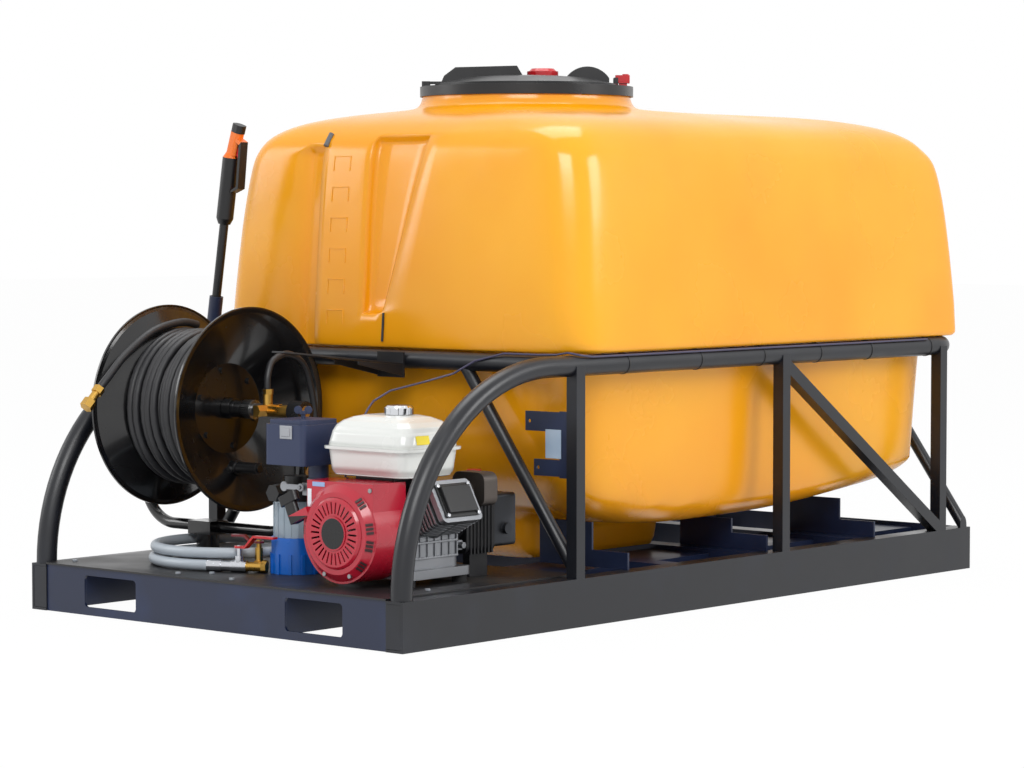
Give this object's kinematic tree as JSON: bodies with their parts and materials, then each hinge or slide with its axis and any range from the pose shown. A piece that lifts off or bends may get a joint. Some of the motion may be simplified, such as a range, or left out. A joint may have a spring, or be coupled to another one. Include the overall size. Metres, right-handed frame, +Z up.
{
  "type": "skid-mounted petrol pressure washer",
  "caption": "Skid-mounted petrol pressure washer: moulded water tank in a tube cage, engine and pump, hose reel, water filter and a spray gun in its holder.",
  "frame": {"origin": "middle of the skid's underside, on the ground", "axes": "+Z up, -Y towards the operator's end with the reel and the engine, +X towards the engine's side"},
  "size_m": [1.2, 2.2, 1.3011],
  "materials": {
    "frame_paint": "semi-gloss, dark slate blue",
    "deck_paint": "satin black",
    "tank_plastic": "gloss, golden orange",
    "black_plastic": "satin",
    "red_plastic": "gloss",
    "reel_paint": "gloss black",
    "swivel_brass": "machined",
    "brass": "machined",
    "hose_rubber": "matte charcoal",
    "grey_hose": "satin, light grey",
    "cable_sheath": "satin",
    "filter_blue": "gloss",
    "filter_bowl": "gloss, clear to grey",
    "filter_paper": "pleated",
    "valve_chrome": "plated",
    "lever_red": "dipped, gloss",
    "lever_dark_red": "dipped, gloss",
    "engine_aluminium": "die-cast",
    "engine_red": "gloss",
    "crank_steel": "turned",
    "fuel_white": "gloss, off-white",
    "cap_chrome": "plated",
    "cleaner_blue": "satin, dark blue",
    "lever_grey": "satin",
    "muffler_steel": "heat-darkened",
    "mount_rubber": "matte",
    "pump_black": "satin",
    "pump_grey": "satin",
    "knob_red": "satin",
    "gun_black": "satin",
    "gun_orange": "gloss"
  },
  "bodies": {
    "frame": {"side_channels": "frame_paint", "cross_plates": "frame_paint", "fork_sleeves": "frame_paint", "deck_plate": "deck_paint", "top_rail": "frame_paint", "cross_tube": "frame_paint", "posts": "frame_paint", "side_braces": "frame_paint", "lateral_braces": "frame_paint", "tank_saddles": "frame_paint", "valve_bracket": "frame_paint", "tool_arm": "deck_paint", "rail_cable": "cable_sheath", "cable_ties": "black_plastic", "tank_body": "tank_plastic", "lid_ring": "black_plastic", "tank_outlet": "black_plastic", "reel_stand": "reel_paint", "reel_swivel": "swivel_brass", "hose_tail": "hose_rubber", "hose_fitting": "brass", "feed_hose": "hose_rubber", "filter_head": "black_plastic", "filter_bowl": "filter_bowl", "filter_cap": "filter_blue", "filter_element": "filter_paper", "ball_valves": "valve_chrome", "brass_tee": "brass", "suction_hose": "grey_hose", "pump_hose": "hose_rubber", "engine_block": "engine_aluminium", "fan_cowl": "engine_red", "recoil_cover": "engine_red", "fuel_tank": "fuel_white", "air_cleaner": "cleaner_blue", "carburettor": "engine_aluminium", "muffler": "muffler_steel", "engine_mounts": "mount_rubber", "pump_body": "pump_black", "pump_head": "pump_grey", "lance_holder": "frame_paint"},
    "lid": {"tank_lid": "black_plastic", "lid_vent": "red_plastic"},
    "lid_latch_body": {"lid_latch": "red_plastic"},
    "reel": {"reel_disc_left": "reel_paint", "reel_disc_right": "reel_paint", "reel_drum": "reel_paint", "hose_pack": "hose_rubber"},
    "crank": {"crank_grip": "black_plastic"},
    "inlet_lever": {"valve_lever_a": "lever_red"},
    "branch_lever": {"valve_lever_b": "lever_dark_red"},
    "crank_assembly": {"crankshaft": "crank_steel"},
    "pull_grip": {"starter_grip": "gun_black"},
    "throttle": {"throttle_lever": "gun_black"},
    "choke": {"choke_lever": "lever_grey"},
    "filler_cap": {"fuel_cap": "cap_chrome"},
    "regulator_knob": {"pressure_knob": "knob_red"},
    "spray_gun": {"lance": "gun_black", "gun_body": "gun_orange"},
    "trigger": {"gun_trigger": "knob_red"}
  },
  "joints": [
    {"name": "lid_hinge", "type": "hinge", "parent": "frame", "child": "lid", "pos_m": [-0.18868, -0.16401, 1.25805], "axis": [0.6561, -0.7547, 0], "range_deg": [0, 100]},
    {"name": "latch_flip", "type": "hinge", "parent": "lid", "child": "lid_latch_body", "pos_m": [0.16755, 0.14564, 1.26805], "axis": [0.6561, -0.7547, 0], "range_deg": [0, 70]},
    {"name": "reel_spin", "type": "hinge", "parent": "frame", "child": "reel", "pos_m": [-0.35, -0.759, 0.474], "axis": [1, 0, 0], "continuous": true},
    {"name": "crank_grip_turn", "type": "hinge", "parent": "reel", "child": "crank", "pos_m": [-0.22, -0.759, 0.334], "axis": [1, 0, 0], "continuous": true},
    {"name": "inlet_valve_turn", "type": "hinge", "parent": "frame", "child": "inlet_lever", "pos_m": [-0.05521, -0.94546, 0.17], "axis": [0, 0, 1], "range_deg": [-90, 0]},
    {"name": "branch_valve_turn", "type": "hinge", "parent": "frame", "child": "branch_lever", "pos_m": [-0.03001, -0.90722, 0.18], "axis": [0, 0, 1], "range_deg": [-90, 0]},
    {"name": "crankshaft_spin", "type": "hinge", "parent": "frame", "child": "crank_assembly", "pos_m": [0.347, -0.85, 0.237], "axis": [0, 1, 0], "continuous": true},
    {"name": "starter_pull", "type": "slide", "parent": "frame", "child": "pull_grip", "axis": [-0.4067, 0, 0.9135], "range_m": [0, 0.6], "stiffness_N_per_m": 40},
    {"name": "throttle_swing", "type": "hinge", "parent": "frame", "child": "throttle", "pos_m": [0.19, -0.943, 0.29], "axis": [0, 1, 0], "range_deg": [-20, 20]},
    {"name": "choke_swing", "type": "hinge", "parent": "frame", "child": "choke", "pos_m": [0.14, -0.943, 0.32], "axis": [0, 1, 0], "range_deg": [-40, 0]},
    {"name": "fuel_cap_turn", "type": "hinge", "parent": "frame", "child": "filler_cap", "pos_m": [0.378, -0.872, 0.5], "axis": [0, 0, 1], "range_deg": [0, 90]},
    {"name": "regulator_turn", "type": "hinge", "parent": "frame", "child": "regulator_knob", "pos_m": [0.317, -0.554, 0.33], "axis": [0, 0, 1], "range_deg": [-360, 360]},
    {"name": "gun_lift", "type": "slide", "parent": "frame", "child": "spray_gun", "axis": [0.1582, 0, 0.9874], "range_m": [0, 0.16]},
    {"name": "trigger_squeeze", "type": "hinge", "parent": "spray_gun", "child": "trigger", "pos_m": [-0.43271, -0.583, 1.10006], "axis": [0, 1, 0], "range_deg": [0, 6.5], "stiffness_Nm_per_rad": 4}
  ]
}
